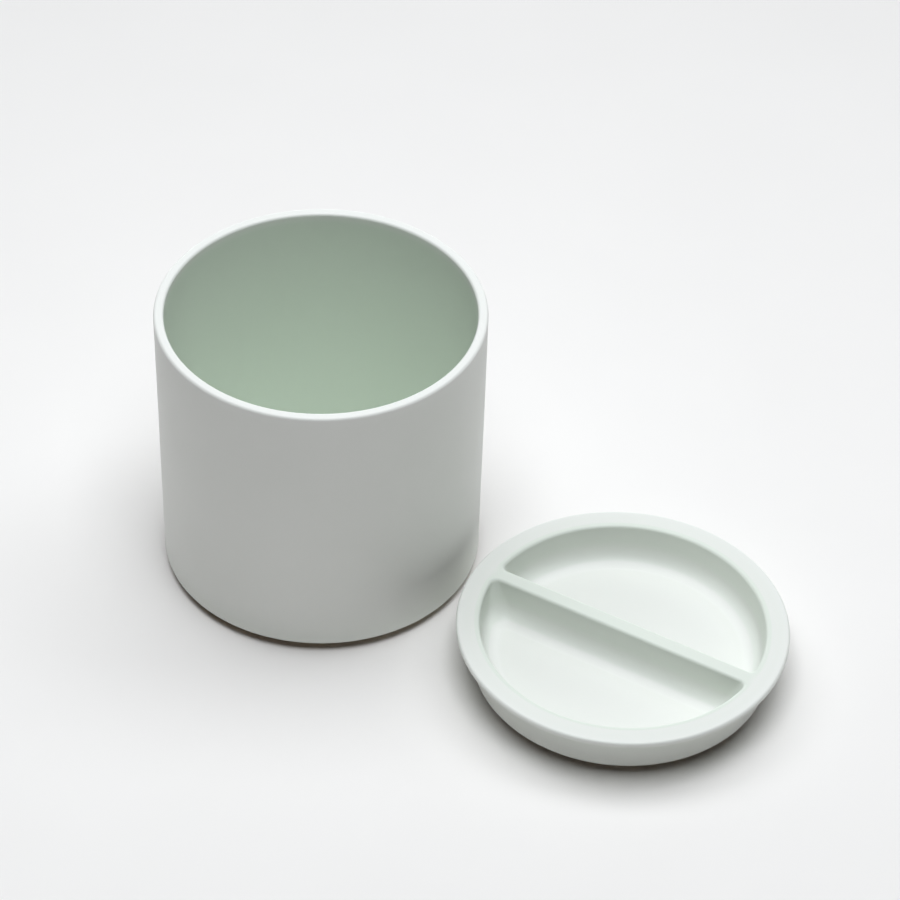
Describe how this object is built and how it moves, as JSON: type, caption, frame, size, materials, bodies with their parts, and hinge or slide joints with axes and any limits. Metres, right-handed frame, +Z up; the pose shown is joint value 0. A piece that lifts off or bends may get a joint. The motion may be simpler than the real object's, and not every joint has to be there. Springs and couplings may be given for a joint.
{
  "type": "lidded jar",
  "caption": "Straight-walled porcelain jar on a foot ring, with its drop-in lid beside it: flange, tapered spigot and two finger pockets either side of a grip bar.",
  "frame": {"origin": "centre of the vessel's foot, on the surface it stands on", "axes": "+Z up, out of the vessel's mouth; the lid lies on the same surface towards +X and -Y, 29.4 degrees clockwise from +X seen from above"},
  "size_m": [0.2129, 0.1681, 0.1034],
  "materials": {
    "vessel_glaze": "satin-matte pale celadon glaze",
    "lid_glaze": "satin-matte pale celadon glaze"
  },
  "bodies": {
    "vessel": {"vessel": "vessel_glaze"},
    "lid": {"lid": "lid_glaze"}
  },
  "joints": [
    {"name": "lid_lift", "type": "slide", "parent": "vessel", "child": "lid", "axis": [0, 0, 1], "range_m": [0, 0.12]}
  ]
}
